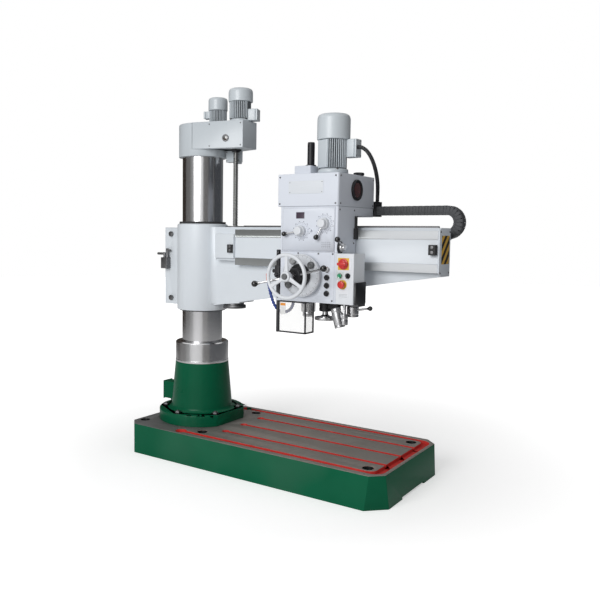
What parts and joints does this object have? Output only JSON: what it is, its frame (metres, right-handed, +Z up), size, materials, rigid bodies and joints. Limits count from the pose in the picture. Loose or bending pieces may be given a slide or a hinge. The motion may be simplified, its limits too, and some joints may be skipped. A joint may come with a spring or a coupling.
{
  "type": "radial arm drill",
  "caption": "Floor-standing radial drilling machine with T-slotted base, turning column, rising arm and a drill head that slides along the arm.",
  "frame": {"origin": "column axis at the floor", "axes": "+X along the arm and the base towards the outer end, -Y the operator's side, +Z up"},
  "size_m": [2.0159, 0.942, 2.275],
  "materials": {
    "green_paint": "gloss",
    "grey_paint": "satin",
    "bright_steel": "ground",
    "dark_steel": "machined",
    "black_plastic": "matte",
    "black_rubber": "matte",
    "sight_glass": "clear",
    "motor_paint": "satin",
    "grey_metal": "satin",
    "black_metal": "satin",
    "conduit_rubber": "ribbed",
    "plate_metal": "brushed",
    "panel_paint": "satin",
    "lamp_metal": "brushed",
    "blue_plastic": "gloss",
    "orange_plastic": "gloss",
    "dial_metal": "satin",
    "lever_steel": "polished",
    "wheel_metal": "satin",
    "grey_plastic": "satin",
    "red_plastic": "gloss",
    "green_plastic": "gloss",
    "clear_plastic": "clear"
  },
  "bodies": {
    "base": {"base_casting": "green_paint", "column_foot": "green_paint", "foot_bolts": "dark_steel", "inner_column": "dark_steel", "clamp_collar": "bright_steel", "power_box": "green_paint"},
    "column": {"outer_column": "bright_steel", "column_head": "grey_paint", "screw_bearing": "dark_steel", "limit_box": "grey_paint", "oil_sight": "sight_glass", "lift_motor": "motor_paint", "pump_motor": "motor_paint"},
    "screw": {"lift_screw": "bright_steel"},
    "arm": {"arm_casting": "grey_paint", "arm_seals": "black_rubber", "lift_nut": "dark_steel", "sleeve_clamp": "dark_steel", "traverse_rack": "dark_steel", "end_plate": "grey_metal", "travel_stops": "black_rubber", "chain_trough": "grey_metal"},
    "chain": {"energy_chain": "black_plastic"},
    "head": {"head_casting": "grey_paint", "gib_strips": "dark_steel", "way_wipers": "black_rubber", "head_cover": "grey_paint", "spindle_tube": "black_metal", "spindle_motor": "motor_paint", "motor_conduit": "conduit_rubber", "chain_bracket": "black_metal", "name_plate": "plate_metal", "front_panel": "panel_paint", "sight_window": "black_plastic", "filler_cap": "black_plastic", "switch_box": "grey_paint", "work_lamp": "lamp_metal", "guard_rail": "black_metal", "coolant_hose": "blue_plastic", "coolant_nozzle": "orange_plastic"},
    "speed_dial": {"speed_dial": "dial_metal"},
    "feed_dial": {"feed_dial": "dial_metal"},
    "side_lever": {"side_lever": "lever_steel"},
    "handwheel": {"traverse_wheel": "wheel_metal"},
    "capstan": {"capstan_hub": "black_metal", "capstan_levers": "lever_steel"},
    "button_1": {"button_1": "grey_plastic"},
    "button_2": {"button_2": "black_plastic"},
    "button_3": {"button_3": "black_plastic"},
    "button_4": {"button_4": "black_plastic"},
    "main_switch": {"main_switch": "red_plastic"},
    "start_button": {"start_button": "green_plastic"},
    "selector": {"selector": "black_plastic"},
    "stop_button": {"stop_button": "red_plastic"},
    "quill": {"quill": "bright_steel"},
    "spindle": {"spindle": "bright_steel"},
    "fine_feed_wheel": {"fine_feed_wheel": "wheel_metal"},
    "lock_lever": {"lock_lever": "lever_steel"},
    "guard": {"guard_frame": "black_metal", "guard_panels": "clear_plastic"}
  },
  "joints": [
    {"name": "column_swivel", "type": "hinge", "parent": "base", "child": "column", "pos_m": [0, 0, 0.6], "axis": [0, 0, 1], "range_deg": [-180, 180]},
    {"name": "arm_lift", "type": "slide", "parent": "column", "child": "arm", "axis": [0, 0, 1], "range_m": [-0.18, 0.36]},
    {"name": "lift_screw_spin", "type": "hinge", "parent": "column", "child": "screw", "pos_m": [0.264, 0, 1.5], "axis": [0, 0, 1], "continuous": true},
    {"name": "head_traverse", "type": "slide", "parent": "arm", "child": "head", "axis": [1, 0, 0], "range_m": [-0.42, 0.38]},
    {"name": "handwheel_spin", "type": "hinge", "parent": "head", "child": "handwheel", "pos_m": [0.97, -0.5, 1.172], "axis": [0, 1, 0], "continuous": true},
    {"name": "chain_travel", "type": "slide", "parent": "arm", "child": "chain", "axis": [1, 0, 0], "range_m": [-0.21, 0.19]},
    {"name": "quill_feed", "type": "slide", "parent": "head", "child": "quill", "axis": [0, 0, -1], "range_m": [0, 0.24]},
    {"name": "capstan_spin", "type": "hinge", "parent": "head", "child": "capstan", "pos_m": [0.97, -0.4, 1.172], "axis": [0, -1, 0], "continuous": true},
    {"name": "spindle_spin", "type": "hinge", "parent": "quill", "child": "spindle", "pos_m": [0.915, -0.18, 1], "axis": [0, 0, 1], "continuous": true},
    {"name": "fine_feed_spin", "type": "hinge", "parent": "head", "child": "fine_feed_wheel", "pos_m": [1.042, -0.212, 0.95], "axis": [0, 0, 1], "continuous": true},
    {"name": "speed_dial_turn", "type": "hinge", "parent": "head", "child": "speed_dial", "pos_m": [1.097, -0.35, 1.447], "axis": [0, 1, 0], "range_deg": [-60, 60]},
    {"name": "feed_dial_turn", "type": "hinge", "parent": "head", "child": "feed_dial", "pos_m": [0.955, -0.35, 1.408], "axis": [0, 1, 0], "range_deg": [-60, 60]},
    {"name": "side_lever_turn", "type": "hinge", "parent": "head", "child": "side_lever", "pos_m": [1.19, -0.3, 1.323], "axis": [1, 0, 0], "range_deg": [-30, 30]},
    {"name": "button_1_push", "type": "slide", "parent": "head", "child": "button_1", "axis": [0, 1, 0], "range_m": [0, 0.004], "stiffness_N_per_m": 900, "springref_m": -0.001},
    {"name": "button_2_push", "type": "slide", "parent": "head", "child": "button_2", "axis": [0, 1, 0], "range_m": [0, 0.004], "stiffness_N_per_m": 900, "springref_m": -0.001},
    {"name": "button_3_push", "type": "slide", "parent": "head", "child": "button_3", "axis": [0, 1, 0], "range_m": [0, 0.004], "stiffness_N_per_m": 900, "springref_m": -0.001},
    {"name": "button_4_push", "type": "slide", "parent": "head", "child": "button_4", "axis": [0, 1, 0], "range_m": [0, 0.004], "stiffness_N_per_m": 900, "springref_m": -0.001},
    {"name": "main_switch_turn", "type": "hinge", "parent": "head", "child": "main_switch", "pos_m": [1.216, -0.35, 1.24], "axis": [0, 1, 0], "range_deg": [0, 90]},
    {"name": "start_push", "type": "slide", "parent": "head", "child": "start_button", "axis": [0, 1, 0], "range_m": [0, 0.004], "stiffness_N_per_m": 900, "springref_m": -0.001},
    {"name": "selector_turn", "type": "hinge", "parent": "head", "child": "selector", "pos_m": [1.242, -0.35, 1.18], "axis": [0, 1, 0], "range_deg": [-45, 45]},
    {"name": "stop_push", "type": "slide", "parent": "head", "child": "stop_button", "axis": [0, 1, 0], "range_m": [0, 0.005], "stiffness_N_per_m": 900, "springref_m": -0.001},
    {"name": "lock_lever_turn", "type": "hinge", "parent": "head", "child": "lock_lever", "pos_m": [1.188, -0.172, 0.98], "axis": [0, 0, 1], "range_deg": [-30, 30]},
    {"name": "guard_swing", "type": "hinge", "parent": "head", "child": "guard", "pos_m": [0.8, -0.314, 0.94], "axis": [0, 0, 1], "range_deg": [-95, 0]}
  ],
  "couplings": [
    {"joint": "lift_screw_spin", "follows": "arm_lift", "rad_per_m": 628.32},
    {"joint": "handwheel_spin", "follows": "head_traverse", "rad_per_m": 58.721},
    {"joint": "chain_travel", "follows": "head_traverse", "ratio": 0.5},
    {"joint": "capstan_spin", "follows": "quill_feed", "rad_per_m": 51.502}
  ]
}
